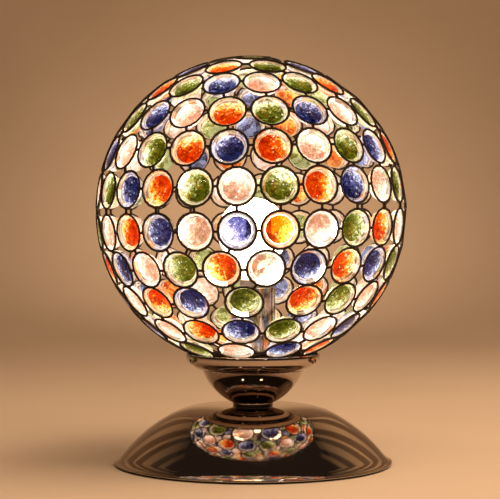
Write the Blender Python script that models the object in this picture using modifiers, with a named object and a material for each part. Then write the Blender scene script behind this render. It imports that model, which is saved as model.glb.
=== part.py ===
"""Table lamp with a ball shade of ring-set glass stones on a chromed cup and a domed base.

Lengths are in millimetres, and MM turns them into Blender's metres where a mesh is made.
The origin is on the axis, on the surface the lamp stands on. +Z is up and -Y is the front.
A place on the ball has a latitude, up from its equator, and a longitude, to the right of its front.
"""

import math

import bmesh
import bpy
from mathutils import Matrix, Vector

MM = 0.001
GAP = 0.3  # clearance left between pieces that touch

# Base
DOME_R = 90.0
DOME_TOP = 37.8
DOME_ARC_R = 108.5
DOME_ARC_CENTRE = (1.75, -63.8)
DOME_SHOULDER = 6.0  # height over which the arc eases into the flat top
DOME_WALL = 1.2
RIM_BOTTOM = 1.1
RIM_TOP = 2.8
RIM_SEAT_R = 84.0
PAD_R = 86.0
PAD_THICK = RIM_BOTTOM - GAP
WEIGHT_R = 66.0
WEIGHT_BOTTOM = 11.0
WEIGHT_THICK = 7.0
WEIGHT_BEVEL = 2.4

# Hollow threaded stem and the nuts on it
STEM_R = 4.9
STEM_BORE_R = 3.5
STEM_BOTTOM = 3.0
STEM_TOP = 66.5
STEM_HOLE_R = STEM_R + 0.35
NUT_ACROSS_FLATS = 14.0
NUT_THICK = 4.4
WASHER_THICK = 1.2
WASHER_R = 8.8

# Cup and the gallery that holds the shade, a shallow dish with a rounded foot
NECK_R = 13.0
NECK_HEIGHT = 1.5
CUP_BOTTOM = DOME_TOP + GAP
CUP_RIM_R = 33.3
CUP_RIM_Z = 60.8
CUP_WALL = 1.2
GALLERY_BORE_R = 29.0
GALLERY_FOOT_R = 33.4
GALLERY_FLOOR = CUP_RIM_Z + GAP
GALLERY_WALL = 1.2
GALLERY_R = 43.3
GALLERY_SIDE_BOTTOM = 67.6
GALLERY_TOP = 71.5

# Ball shade
BALL_R = 98.8  # radius of the plane of the wire rings
BALL_Z = 163.2
STONE_FRONT_R = 99.8
STONE_BACK_R = 94.0
STONE_RIM_R = 11.3
STONE_CULET_R = 9.6
TIE_HALF_ANGLE = 8.0
LEAN = 1.3  # degrees that the ball leans to the left
LEAN_PIVOT_Z = 110.0
FITTER_R = 39.3
FITTER_WALL = 1.4
FITTER_BOTTOM = 66.2
FITTER_TOP = 69.8
# latitude, number of stones, longitude of the stone nearest the front
ROWS = (
    (81.8, 3, 14.0),
    (66.0, 9, 18.0),
    (52.6, 15, 8.1),
    (37.65, 19, 9.4),
    (22.95, 22, -7.7),
    (8.65, 24, -4.8),
    (-6.7, 24, -5.0),
    (-20.3, 22, 5.0),
    (-33.65, 19, -3.8),
    (-48.0, 16, -6.8),
    (-61.3, 10, -13.5),
)
LOOSE_ROW = 8  # the row with wider spaces on both sides of its front stone
LOOSE_STEPS = (25.8, 23.4)

# Set screws that clamp the shade
SCREW_LONGITUDES = {"left": -60.0, "right": 60.0, "rear": 180.0}
SCREW_Z = 68.5
SCREW_R = 1.2
SCREW_HOLE_R = 1.55
SCREW_HEAD_R = 1.9
SCREW_HEAD_LENGTH = 1.8

# Lampholder and its sleeve
SLEEVE_R = 14.6
SLEEVE_WALL = 0.6
SLEEVE_TOP = 114.0
HOLDER_R = 12.9
HOLDER_BOTTOM = 58.0
HOLDER_SPLIT = 70.0
HOLDER_TOP = 111.5
HOLDER_WALL = 2.5
HOLDER_WELL_R = 8.2
HOLDER_FLOOR = (84.0, 87.0)
SHELL_R = 7.85
SHELL_WALL = 0.4
SHELL_SPAN = (95.0, 109.0)
TERMINAL_X = 4.6
TERMINAL_HOLE_R = 1.75
TERMINAL_SHANK_R = 1.4
TERMINAL_HEAD_R = 2.6
TERMINAL_HEAD = 2.0
LEAF_THICK = 0.5
LEAF_WIDTH = 2.8
LEAF_BACK = -6.0
LEAF_FRONT = 2.6

# Bulb, a small-screw golf-ball bulb
BULB_R = 22.5
BULB_Z = 149.5
BULB_WALL = 0.8
BULB_NECK_R = 7.2
BULB_NECK_BOTTOM = 115.9
CAP_R = 6.9
CAP_SKIRT_R = 8.6
CAP_SPAN = (97.6, 119.0)
CAP_SKIRT_Z = 113.4
CAP_HOLE_R = 2.2
CAP_WALL = 0.4
CONTACT_BOTTOM = 94.0
MOUNT_SPAN = (112.0, 131.0)
FILAMENT_R = 0.25

# Cord bushing in the back of the base
BUSHING_Z = 9.0
BUSHING_BORE_R = 2.6
BUSHING_R = 3.7
BUSHING_FLANGE_R = 5.4

# facets round a turned piece
FINE = 32
MEDIUM = 20
SMALL = 14

PARTS = bpy.data.collections.new("mosaic_ball_lamp")
CUTTERS = bpy.data.collections.new("cutters")


# ---------------------------------------------------------------- helpers


def clear_scene():
    for old in list(bpy.data.objects):
        bpy.data.objects.remove(old, do_unlink=True)
    for collection in (PARTS, CUTTERS):
        bpy.context.scene.collection.children.link(collection)


def make_material(name, colour, roughness, metallic=0.0, alpha=1.0):
    material = bpy.data.materials.new(name)
    material.use_nodes = True
    shader = material.node_tree.nodes["Principled BSDF"]
    shader.inputs["Base Color"].default_value = (*colour, 1.0)
    shader.inputs["Roughness"].default_value = roughness
    shader.inputs["Metallic"].default_value = metallic
    shader.inputs["Alpha"].default_value = alpha
    return material


def add_object(name, data, material=None, collection=None):
    thing = bpy.data.objects.new(name, data)
    (collection or PARTS).objects.link(thing)
    if material:
        data.materials.append(material)
    return thing


def mesh_from(name, bm):
    for vert in bm.verts:
        vert.co *= MM
    mesh = bpy.data.meshes.new(name)
    bm.to_mesh(mesh)
    bm.free()
    return mesh


def turned(name, profile, material, steps=MEDIUM, collection=None):
    """Turn a profile of (radius, height) points about Z.

    The points run down the outside and back up the inside. A profile that ends on the axis stays
    open there, and any other is closed into a loop.
    """
    bm = bmesh.new()
    verts = [bm.verts.new((radius, 0, height)) for radius, height in profile]
    for first, second in zip(verts, verts[1:]):
        bm.edges.new((first, second))
    if profile[0][0] > 0:
        bm.edges.new((verts[-1], verts[0]))
    thing = add_object(name, mesh_from(name, bm), material, collection)
    screw = thing.modifiers.new("turn", "SCREW")
    screw.steps = steps
    screw.render_steps = steps
    screw.use_merge_vertices = True
    screw.merge_threshold = 0.00001
    screw.use_smooth_shade = True
    return thing


def tube_profile(outer, inner, bottom, top, chamfer=0.0):
    """Section of a tube, with its two outer edges chamfered if asked."""
    if not chamfer:
        return [(outer, top), (outer, bottom), (inner, bottom), (inner, top)]
    return [
        (outer - chamfer, top),
        (outer, top - chamfer),
        (outer, bottom + chamfer),
        (outer - chamfer, bottom),
        (inner, bottom),
        (inner, top),
    ]


def arc(centre, radius, start, end, count):
    """Points on an arc in the profile plane, from one angle in degrees to another."""
    angles = (math.radians(start + (end - start) * i / (count - 1)) for i in range(count))
    return [(centre[0] + radius * math.cos(a), centre[1] + radius * math.sin(a)) for a in angles]


def hex_nut(name, bottom, material):
    """A hexagon nut round the stem, with its bore cut clear of the thread."""
    bm = bmesh.new()
    corner_r = NUT_ACROSS_FLATS / 2 / math.cos(math.radians(30))
    middle = Matrix.Translation((0, 0, bottom + NUT_THICK / 2))
    bmesh.ops.create_cone(
        bm, cap_ends=True, segments=6, radius1=corner_r, radius2=corner_r, depth=NUT_THICK, matrix=middle
    )
    nut = add_object(name, mesh_from(name, bm), material)
    bore = round_cutter(name + "_bore", STEM_HOLE_R, (0, 0, bottom - 1), (0, 0, bottom + NUT_THICK + 1))
    cut(nut, bore)
    return nut


def round_cutter(name, radius, start, end, segments=16):
    """A cylinder from one point to another, for cutting a round hole."""
    start, end = Vector(start), Vector(end)
    turn = (end - start).to_track_quat("Z", "Y").to_matrix().to_4x4()
    bm = bmesh.new()
    bmesh.ops.create_cone(
        bm,
        cap_ends=True,
        segments=segments,
        radius1=radius,
        radius2=radius,
        depth=(end - start).length,
        matrix=Matrix.Translation((start + end) / 2) @ turn,
    )
    cutter = add_object(name, mesh_from(name, bm), collection=CUTTERS)
    cutter.hide_render = True
    cutter.display_type = "WIRE"
    return cutter


def cut(thing, cutter):
    """Take a cutter's shape out of a piece."""
    boolean = thing.modifiers.new("hole", "BOOLEAN")
    boolean.operation = "DIFFERENCE"
    boolean.object = cutter


# ---------------------------------------------------------------- base


def dome_height(radius):
    """Height of the dome's outside: an arc that eases into the flat top."""
    reach = radius - DOME_ARC_CENTRE[0]
    slope = DOME_ARC_CENTRE[1] + math.sqrt(DOME_ARC_R**2 - reach**2)
    share = min(max(0.5 + 0.5 * (DOME_TOP - slope) / DOME_SHOULDER, 0.0), 1.0)
    return DOME_TOP + (slope - DOME_TOP) * share - DOME_SHOULDER * share * (1 - share)


def dome_normal(radius):
    """Unit normal of the dome's outside in the profile plane."""
    rise = (dome_height(radius + 0.5) - dome_height(radius - 0.5)) / 1.0
    return Vector((-rise, 1.0)).normalized()


def dome_profile():
    radii = [STEM_HOLE_R, 24.0, 34.0, 42.0, 50.0, 59.0, 68.0, 76.0, 83.0, 87.0]
    outside = [(r, dome_height(r)) for r in radii]
    inside = []
    for r in radii[1:]:
        point = Vector((r, dome_height(r))) - DOME_WALL * dome_normal(r)
        inside.append((point.x, point.y))
    rim_middle = (RIM_TOP + RIM_BOTTOM) / 2
    rim = [
        (DOME_R - 0.9, RIM_TOP),
        (DOME_R, rim_middle),
        (DOME_R - 0.5, RIM_BOTTOM),
        (RIM_SEAT_R, RIM_BOTTOM),
        (RIM_SEAT_R, RIM_BOTTOM + 1.0),
    ]
    return outside + rim + inside[::-1] + [(STEM_HOLE_R, DOME_TOP - DOME_WALL)]


def build_base(chrome, iron, steel, foam, black_plastic):
    dome = turned("base_dome", dome_profile(), chrome, FINE)
    seat_r = radius_at_height(BUSHING_Z)
    wall = Vector((0, seat_r, BUSHING_Z))
    normal = dome_normal(seat_r)
    outward = Vector((0, normal.x, normal.y))
    hole = round_cutter("bushing_hole", BUSHING_R + GAP, wall - 6 * outward, wall + 6 * outward)
    cut(dome, hole)

    weight_top = WEIGHT_BOTTOM + WEIGHT_THICK
    turned(
        "base_weight",
        [
            (STEM_HOLE_R, weight_top),
            (WEIGHT_R - WEIGHT_BEVEL, weight_top),
            (WEIGHT_R, weight_top - WEIGHT_BEVEL),
            (WEIGHT_R, WEIGHT_BOTTOM),
            (STEM_HOLE_R, WEIGHT_BOTTOM),
        ],
        iron,
        FINE,
    )
    turned("foot_pad", [(0, PAD_THICK), (PAD_R, PAD_THICK), (PAD_R, 0), (0, 0)], foam, FINE)

    washer_bottom = WEIGHT_BOTTOM - GAP - WASHER_THICK
    turned(
        "base_washer",
        tube_profile(WASHER_R + 3, STEM_HOLE_R, washer_bottom, washer_bottom + WASHER_THICK),
        steel,
    )
    hex_nut("base_nut", washer_bottom - GAP - NUT_THICK, steel)
    turned("stem_tube", tube_profile(STEM_R, STEM_BORE_R, STEM_BOTTOM, STEM_TOP, 0.4), steel, SMALL)

    # the bushing's groove holds the wall of the dome
    lip = 0.5
    profile = [
        (BUSHING_BORE_R + 0.6, lip + 1.6),
        (BUSHING_FLANGE_R - 0.8, lip + 1.6),
        (BUSHING_FLANGE_R, lip + 0.8),
        (BUSHING_FLANGE_R, lip),
        (BUSHING_R, lip),
        (BUSHING_R, -DOME_WALL - lip),
        (BUSHING_FLANGE_R - 0.6, -DOME_WALL - lip),
        (BUSHING_FLANGE_R - 1.0, -DOME_WALL - lip - 1.2),
        (BUSHING_BORE_R, -DOME_WALL - lip - 1.2),
        (BUSHING_BORE_R, lip + 1.0),
    ]
    bushing = turned("cord_bushing", profile, black_plastic, SMALL)
    bushing.location = wall * MM
    bushing.rotation_euler = outward.to_track_quat("Z", "Y").to_euler()


def radius_at_height(height):
    """Radius of the dome's outside at a height, by halving the interval."""
    low, high = 50.0, DOME_R
    for _ in range(40):
        middle = (low + high) / 2
        if dome_height(middle) > height:
            low = middle
        else:
            high = middle
    return low


# ---------------------------------------------------------------- cup and gallery


def cup_point(share):
    """Outside of the cup above its neck: a quick flare that straightens towards the rim."""
    height = CUP_BOTTOM + NECK_HEIGHT + (CUP_RIM_Z - CUP_BOTTOM - NECK_HEIGHT) * share
    flare = share ** (0.47 + 0.27 * (1 - share) ** 2)
    return NECK_R + (CUP_RIM_R - NECK_R) * flare, height


def build_cup(chrome, steel):
    outside = [cup_point((1 - i / 8) ** 1.5) for i in range(9)]
    inside = [(r - CUP_WALL * 1.15, max(h, CUP_BOTTOM + CUP_WALL)) for r, h in outside]
    profile = outside + [(NECK_R, CUP_BOTTOM), (STEM_HOLE_R, CUP_BOTTOM)]
    profile += [(STEM_HOLE_R, CUP_BOTTOM + CUP_WALL)] + inside[::-1]
    turned("cup_bowl", profile, chrome, FINE)

    washer_bottom = CUP_BOTTOM + CUP_WALL + GAP
    washer_top = washer_bottom + WASHER_THICK
    turned("cup_washer", tube_profile(WASHER_R, STEM_HOLE_R, washer_bottom, washer_top), steel)
    nut_bottom = washer_top + GAP
    hex_nut("cup_nut", nut_bottom, steel)
    return nut_bottom + NUT_THICK + GAP


def gallery_foot(share):
    """The dish's rounded foot, from its floor at 0 to its upright side at 1."""
    drop = (1 - share**1.5) ** (1 / 1.5)
    radius = GALLERY_FOOT_R + (GALLERY_R - GALLERY_FOOT_R) * share
    return radius, GALLERY_SIDE_BOTTOM - (GALLERY_SIDE_BOTTOM - GALLERY_FLOOR) * drop


def gallery_profile():
    """Section of the gallery: a rolled lip, an upright side, a rounded foot and a flat floor."""
    foot = [gallery_foot(share) for share in (0.98, 0.9, 0.74, 0.5, 0.22)]
    inner_r = GALLERY_R - GALLERY_WALL
    inner_side = [(radius - 0.7 * GALLERY_WALL, z + 0.8 * GALLERY_WALL) for radius, z in foot[1:]]
    return [
        (inner_r + 0.3, GALLERY_TOP),
        (GALLERY_R - 0.3, GALLERY_TOP),
        (GALLERY_R, GALLERY_TOP - 0.4),
        (GALLERY_R, GALLERY_SIDE_BOTTOM),
        *foot,
        (GALLERY_FOOT_R, GALLERY_FLOOR),
        (GALLERY_BORE_R, GALLERY_FLOOR),
        (GALLERY_BORE_R, GALLERY_FLOOR + GALLERY_WALL),
        (GALLERY_FOOT_R, GALLERY_FLOOR + GALLERY_WALL),
        *inner_side[::-1],
        (inner_r, GALLERY_SIDE_BOTTOM),
        (inner_r, GALLERY_TOP - 0.3),
    ]


def front_direction(longitude):
    """Level unit vector at a longitude to the right of the front."""
    angle = math.radians(longitude)
    return Vector((math.sin(angle), -math.cos(angle), 0))


def build_gallery(chrome):
    gallery = turned("gallery_ring", gallery_profile(), chrome, FINE)
    for side, longitude in SCREW_LONGITUDES.items():
        outward = front_direction(longitude)
        middle = Vector((0, 0, SCREW_Z))
        start, end = (middle + (GALLERY_R + reach) * outward for reach in (-3, 3))
        hole = round_cutter("screw_hole_" + side, SCREW_HOLE_R, start, end, 12)
        cut(gallery, hole)


def build_set_screws(chrome):
    """Three screws through the gallery whose tips stop just short of the shade's ring."""
    shift = math.sin(math.radians(LEAN)) * (LEAN_PIVOT_Z - SCREW_Z)
    head_start = GALLERY_R + 0.55
    head_end = head_start + SCREW_HEAD_LENGTH
    for side, longitude in SCREW_LONGITUDES.items():
        tip = FITTER_R + shift * math.sin(math.radians(longitude)) + GAP + 0.15
        profile = [
            (0, head_end),
            (SCREW_HEAD_R - 0.5, head_end),
            (SCREW_HEAD_R, head_end - 0.5),
            (SCREW_HEAD_R, head_start),
            (SCREW_R, head_start),
            (SCREW_R, tip + 0.4),
            (SCREW_R - 0.4, tip),
            (0, tip),
        ]
        screw = turned("set_screw_" + side, profile, chrome, 12)
        screw.location = (0, 0, SCREW_Z * MM)
        screw.rotation_euler = front_direction(longitude).to_track_quat("Z", "Y").to_euler()


# ---------------------------------------------------------------- lampholder


def build_lampholder(sleeve_bottom, chrome, steel, holder_plastic, brass):
    inner = SLEEVE_R - SLEEVE_WALL
    sleeve_floor = sleeve_bottom + 1.0
    sleeve = [
        (SLEEVE_R, SLEEVE_TOP),
        (SLEEVE_R, sleeve_bottom),
        (STEM_HOLE_R, sleeve_bottom),
        (STEM_HOLE_R, sleeve_floor),
        (inner, sleeve_floor),
        (inner, SLEEVE_TOP),
    ]
    turned("holder_sleeve", sleeve, chrome)
    hex_nut("sleeve_nut", sleeve_floor + GAP, steel)

    cap_top = HOLDER_SPLIT
    chamber_r = HOLDER_R - HOLDER_WALL
    cap = [
        (HOLDER_R, cap_top),
        (HOLDER_R, HOLDER_BOTTOM + 3.0),
        (HOLDER_R - 3.0, HOLDER_BOTTOM),
        (STEM_HOLE_R, HOLDER_BOTTOM),
        (STEM_HOLE_R, STEM_TOP + 0.5),
        (chamber_r, STEM_TOP + 1.5),
        (chamber_r, cap_top),
    ]
    turned("holder_cap", cap, holder_plastic)

    body_bottom = cap_top + GAP
    floor_bottom, floor_top = HOLDER_FLOOR
    body = [
        (HOLDER_R - 0.6, HOLDER_TOP),
        (HOLDER_R, HOLDER_TOP - 0.6),
        (HOLDER_R, body_bottom),
        (chamber_r, body_bottom),
        (chamber_r, floor_bottom),
        (0, floor_bottom),
    ]
    well = [(0, floor_top), (HOLDER_WELL_R, floor_top), (HOLDER_WELL_R, HOLDER_TOP)]
    holder = turned_open("holder_body", body, well, holder_plastic)
    for side, x in (("left", -TERMINAL_X), ("right", TERMINAL_X)):
        start, end = (x, 0, floor_bottom - 2), (x, 0, floor_top + 3)
        hole = round_cutter("terminal_hole_" + side, TERMINAL_HOLE_R, start, end, 12)
        cut(holder, hole)
        head_top = floor_bottom - GAP
        screw = [
            (0, floor_top - GAP),
            (TERMINAL_SHANK_R, floor_top - GAP),
            (TERMINAL_SHANK_R, head_top),
            (TERMINAL_HEAD_R, head_top),
            (TERMINAL_HEAD_R, head_top - TERMINAL_HEAD),
            (0, head_top - TERMINAL_HEAD),
        ]
        terminal = turned("terminal_screw_" + side, screw, brass, 12)
        terminal.location.x = x * MM

    bottom, top = SHELL_SPAN
    turned("socket_shell", tube_profile(SHELL_R, SHELL_R - SHELL_WALL, bottom, top), brass)
    build_contact(floor_top + GAP, brass)


def turned_open(name, down, up, material):
    """Turn a piece that the axis passes through: its outside runs to the axis and its well runs back."""
    closed = down + up
    start = closed.index(up[0])
    return turned(name, closed[start:] + closed[:start], material)


def build_contact(bottom, brass):
    """The sprung tongue under the bulb: a leaf that lies on the floor and folds back over itself."""
    tip_z = CONTACT_BOTTOM - GAP
    outline = [
        (LEAF_BACK, bottom),
        (LEAF_FRONT, bottom),
        (LEAF_FRONT, bottom + LEAF_THICK),
        (LEAF_BACK + 0.8, bottom + LEAF_THICK),
        (-1.8, tip_z - LEAF_THICK - 0.4),
        (LEAF_FRONT, tip_z - LEAF_THICK),
        (LEAF_FRONT, tip_z),
        (-2.2, tip_z - 0.2),
    ]
    curve = bpy.data.curves.new("centre_contact", "CURVE")
    curve.dimensions = "2D"
    curve.fill_mode = "BOTH"
    curve.extrude = LEAF_WIDTH / 2 * MM
    spline = curve.splines.new("POLY")
    spline.points.add(len(outline) - 1)
    for point, (x, z) in zip(spline.points, outline):
        point.co = (x * MM, z * MM, 0, 1)
    spline.use_cyclic_u = True
    contact = add_object("centre_contact", curve, brass)
    contact.rotation_euler.x = math.radians(90)


# ---------------------------------------------------------------- bulb


def build_bulb(frosted, nickel, black_glass, tungsten):
    """A golf-ball bulb on a small screw cap, with its glass mount and filament inside."""
    bulb = bpy.data.objects.new("bulb_axis", None)
    PARTS.objects.link(bulb)
    outside = arc((0, BULB_Z), BULB_R, 90, -50, 7)
    shoulder = [(9.6, 127.4), (BULB_NECK_R + 0.5, 122.0), (BULB_NECK_R, BULB_NECK_BOTTOM)]
    inside = [(BULB_NECK_R - BULB_WALL, BULB_NECK_BOTTOM), (BULB_NECK_R - 0.3, 122.0), (8.8, 127.8)]
    inside += arc((0, BULB_Z), BULB_R - BULB_WALL, -50, 90, 7)
    outside[0] = (0, outside[0][1])
    inside[-1] = (0, inside[-1][1])
    glass = turned("bulb_glass", outside + shoulder + inside, frosted)

    bottom, top = CAP_SPAN
    cap = [
        (CAP_SKIRT_R, top),
        (CAP_SKIRT_R, CAP_SKIRT_Z + 1.6),
        (CAP_R, CAP_SKIRT_Z),
        (CAP_R, bottom + 1.2),
        (CAP_R - 1.6, bottom),
        (CAP_HOLE_R, bottom),
        (CAP_HOLE_R, bottom + CAP_WALL),
        (CAP_R - CAP_WALL, bottom + 1.8),
        (CAP_R - CAP_WALL, CAP_SKIRT_Z + 0.5),
        (CAP_SKIRT_R - CAP_WALL, CAP_SKIRT_Z + 2.1),
        (CAP_SKIRT_R - CAP_WALL, top),
    ]
    shell = turned("bulb_cap", cap, nickel, SMALL)
    insulator_top = bottom - GAP
    insulator_bottom = CONTACT_BOTTOM + 1.0 + GAP
    insulator = turned(
        "bulb_insulator",
        [(0, insulator_top), (4.9, insulator_top), (2.6, insulator_bottom), (0, insulator_bottom)],
        black_glass,
        SMALL,
    )
    contact_top = CONTACT_BOTTOM + 1.0
    contact = turned(
        "bulb_contact",
        [(0, contact_top), (2.3, contact_top), (1.6, CONTACT_BOTTOM), (0, CONTACT_BOTTOM)],
        nickel,
        12,
    )
    foot, tip = MOUNT_SPAN
    stem = turned(
        "bulb_stem",
        [(0, tip), (1.6, tip - 0.6), (1.6, foot + 10.0), (3.4, foot + 3.8), (5.2, foot), (0, foot)],
        frosted,
        12,
    )

    curve = bpy.data.curves.new("filament", "CURVE")
    curve.dimensions = "3D"
    curve.bevel_depth = FILAMENT_R * MM
    curve.bevel_resolution = 1
    curve.use_fill_caps = True
    half = [(3.4, 119.5), (3.4, 133.0), (8.6, 142.0), (4.4, 144.6)]
    route = [(-x, z) for x, z in half] + [(x, z) for x, z in half[::-1]]
    spline = curve.splines.new("POLY")
    spline.points.add(len(route) - 1)
    for point, (x, z) in zip(spline.points, route):
        point.co = (x * MM, 0, z * MM, 1)
    filament = add_object("filament", curve, tungsten)
    for piece in (glass, shell, insulator, contact, stem, filament):
        piece.parent = bulb


# ---------------------------------------------------------------- shade


def row_longitudes(index):
    """Longitudes of a row's stones, in order round the ball."""
    latitude, count, first = ROWS[index]
    if index != LOOSE_ROW:
        return [first + 360 * i / count for i in range(count)]
    right, left = LOOSE_STEPS
    step = (360 - right - left) / (count - 2)
    return [first] + [first + right + step * i for i in range(count - 1)]


def ball_frame(latitude, longitude):
    """Axes at a place on the ball: east along the row, north up the ball, and outward."""
    up, round_ = math.radians(latitude), math.radians(longitude)
    east = Vector((math.cos(round_), math.sin(round_), 0))
    outward = Vector((math.cos(up) * math.sin(round_), -math.cos(up) * math.cos(round_), math.sin(up)))
    north = outward.cross(east)
    return Matrix((east, north, outward)).transposed().to_4x4()


def add_stone(bm, latitude, longitude, steps):
    """One ring-set stone as a tapered disc, with a narrow facet towards each neighbour.

    Returns the facets that face the neighbours on the left and on the right.
    """
    depth = STONE_FRONT_R - STONE_BACK_R
    sides = 10
    made = bmesh.ops.create_cone(
        bm, cap_ends=True, segments=sides, radius1=STONE_CULET_R, radius2=STONE_RIM_R, depth=depth
    )
    climb = math.sin(math.radians(latitude)) / 2
    left, right = (180 - steps[0] * climb, steps[1] * climb)
    narrow = TIE_HALF_ANGLE
    over = [right + narrow + (left - right - 2 * narrow) * i / 4 for i in range(5)]
    under = [left + narrow + (right + 360 - left - 2 * narrow) * i / 4 for i in range(5)]
    corners = over + under
    order = {}
    for vert in made["verts"]:
        turn = math.degrees(math.atan2(vert.co.y, vert.co.x)) % 360
        order[vert] = round((turn - 18) / 36) % sides
    facets = {}
    for face in {face for vert in made["verts"] for face in vert.link_faces}:
        found = {order[vert] for vert in face.verts}
        if found == {4, 5}:
            facets["left"] = face
        if found == {0, 9}:
            facets["right"] = face
    place = ball_frame(latitude, longitude)
    middle = (STONE_FRONT_R + STONE_BACK_R) / 2
    for vert, index in order.items():
        angle = math.radians(corners[index])
        radius = math.hypot(vert.co.x, vert.co.y)
        vert.co = place @ Vector((radius * math.cos(angle), radius * math.sin(angle), vert.co.z + middle))
    return facets["left"], facets["right"]


def build_row(index, glass):
    """A row of ring-set stones, tied to each other into one hoop."""
    latitude = ROWS[index][0]
    longitudes = row_longitudes(index)
    count = len(longitudes)
    steps = [(longitudes[(i + 1) % count] - longitudes[i]) % 360 for i in range(count)]
    bm = bmesh.new()
    facets = [
        add_stone(bm, latitude, longitude, (steps[i - 1], steps[i]))
        for i, longitude in enumerate(longitudes)
    ]
    for i in range(count):
        right, left = facets[i][1], facets[(i + 1) % count][0]
        edges = list(right.edges) + list(left.edges)
        bmesh.ops.delete(bm, geom=[right, left], context="FACES_ONLY")
        bmesh.ops.bridge_loops(bm, edges=edges)
    bmesh.ops.recalc_face_normals(bm, faces=bm.faces)
    name = f"shade_row_{index:02d}"
    return add_object(name, mesh_from(name, bm), glass)


def build_shade(glass, gunmetal):
    """Everything that lifts off together, leaning a little to the left."""
    frame = bpy.data.objects.new("shade_frame", None)
    PARTS.objects.link(frame)
    frame.location.z = LEAN_PIVOT_Z * MM
    frame.rotation_euler.y = -math.radians(LEAN)
    fitter = turned(
        "shade_fitter_ring",
        tube_profile(FITTER_R, FITTER_R - FITTER_WALL, FITTER_BOTTOM, FITTER_TOP),
        gunmetal,
        FINE,
    )
    fitter.parent = frame
    fitter.location.z = -LEAN_PIVOT_Z * MM
    for index in range(len(ROWS)):
        row = build_row(index, glass)
        row.parent = frame
        row.location.z = (BALL_Z - LEAN_PIVOT_Z) * MM


# ---------------------------------------------------------------- the lamp


def main():
    clear_scene()
    chrome = make_material("black_chrome", (0.42, 0.40, 0.38), 0.08, 1.0)
    iron = make_material("cast_iron", (0.10, 0.10, 0.10), 0.75, 0.6)
    steel = make_material("zinc_steel", (0.62, 0.62, 0.60), 0.35, 1.0)
    foam = make_material("black_foam", (0.03, 0.03, 0.03), 0.95)
    black_plastic = make_material("black_plastic", (0.02, 0.02, 0.02), 0.45)
    holder_plastic = make_material("holder_plastic", (0.80, 0.78, 0.72), 0.4)
    brass = make_material("brass", (0.78, 0.60, 0.28), 0.3, 1.0)
    frosted = make_material("frosted_glass", (0.96, 0.94, 0.88), 0.5, 0.0, 0.6)
    nickel = make_material("nickel", (0.70, 0.68, 0.64), 0.25, 1.0)
    black_glass = make_material("black_glass", (0.02, 0.02, 0.03), 0.2)
    tungsten = make_material("tungsten", (0.30, 0.29, 0.28), 0.4, 1.0)
    gunmetal = make_material("gunmetal", (0.10, 0.08, 0.07), 0.35, 0.9)
    stones = make_material("coloured_glass", (0.55, 0.42, 0.35), 0.1, 0.0, 0.5)

    build_base(chrome, iron, steel, foam, black_plastic)
    sleeve_bottom = build_cup(chrome, steel)
    build_gallery(chrome)
    build_set_screws(chrome)
    build_lampholder(sleeve_bottom, chrome, steel, holder_plastic, brass)
    build_bulb(frosted, nickel, black_glass, tungsten)
    build_shade(stones, gunmetal)


main()
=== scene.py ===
"""A lit table lamp: a ball of ring-set glass stones on a dark chrome cup and a domed base.

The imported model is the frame. Every piece here is placed from it, in metres, with +Z up and the
front towards -Y. A place on the ball has a latitude, and a longitude to the right of its front.
"""

import math
import random

import bmesh
import bpy
import numpy as np
from bpy.props import FloatProperty, FloatVectorProperty, IntProperty, PointerProperty
from mathutils import Matrix, Vector


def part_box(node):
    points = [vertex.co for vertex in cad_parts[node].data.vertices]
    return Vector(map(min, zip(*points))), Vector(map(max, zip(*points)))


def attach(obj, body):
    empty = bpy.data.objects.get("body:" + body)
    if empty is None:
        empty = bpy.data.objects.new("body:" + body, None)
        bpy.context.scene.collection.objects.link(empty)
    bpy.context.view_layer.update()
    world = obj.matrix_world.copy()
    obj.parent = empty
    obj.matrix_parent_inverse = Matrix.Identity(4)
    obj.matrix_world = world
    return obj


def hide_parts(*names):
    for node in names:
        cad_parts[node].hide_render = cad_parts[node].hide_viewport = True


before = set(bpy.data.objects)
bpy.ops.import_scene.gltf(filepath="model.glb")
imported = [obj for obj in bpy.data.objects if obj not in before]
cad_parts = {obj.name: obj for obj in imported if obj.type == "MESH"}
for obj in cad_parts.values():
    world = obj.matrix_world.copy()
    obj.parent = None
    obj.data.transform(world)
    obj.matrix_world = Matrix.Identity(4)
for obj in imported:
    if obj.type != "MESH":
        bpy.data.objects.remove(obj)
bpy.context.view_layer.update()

bl_info = {
    "name": "Mosaic ball lamp",
    "version": (1, 0, 0),
    "blender": (4, 5, 0),
    "location": "3D View > Sidebar > Lamp",
    "description": "Makes the stones, wire, chrome and light of a ball-shaded table lamp",
    "category": "Object",
}

MM = 0.001

# Rows of the ball, top to bottom: latitude, longitude of the first stone, and the stones' colours
# round to the right: b blue, a amber, g green, c clear.
ROWS = (
    (81.8, 14.0, "gab"),
    (66.0, 18.0, "gbcagbcba"),
    (52.6, 8.1, "cgabcgabgcbcagb"),
    (37.65, 9.4, "gbcgabgcabgcbacgbca"),
    (22.95, -7.7, "bacgbagcbagcabgcgabcga"),
    (8.65, -4.8, "cgabcgabcgbagcabgcbcgbag"),
    (-6.7, -5.0, "bacgacbgacbgcagbcabgcabc"),
    (-20.3, 5.0, "cbabgcabgcbagcabgabcga"),
    (-33.65, -3.8, "gagcabcgabgcabgbcab"),
    (-48.0, -6.8, "bgcbagcbagcagbca"),
    (-61.3, -13.5, "cbagcbacbg"),
)
LOOSE_ROW = 8  # its front stone has wider spaces on both sides
LOOSE_STEPS = (25.8, 23.4)  # to the right and to the left of that stone, in degrees
STONE_SLOTS = {"b": "blue_stone", "a": "amber_stone", "g": "green_stone", "c": "clear_stone"}
# Painted glow: the stones' cores and cut sides shine by their own emission in place of the bulb's
# light through them. These set how much of it each colour lets out.
STONE_LIGHT = {"b": 0.18, "a": 0.42, "g": 0.32, "c": 0.85}  # the light that the deep glass lets out
CAD_STONE_RIM = 11.3 * MM  # corner radius of the frame's stones
CAD_STONE_PROUD = 1.0 * MM  # how far their faces stand out of the plane of the rings

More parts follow.
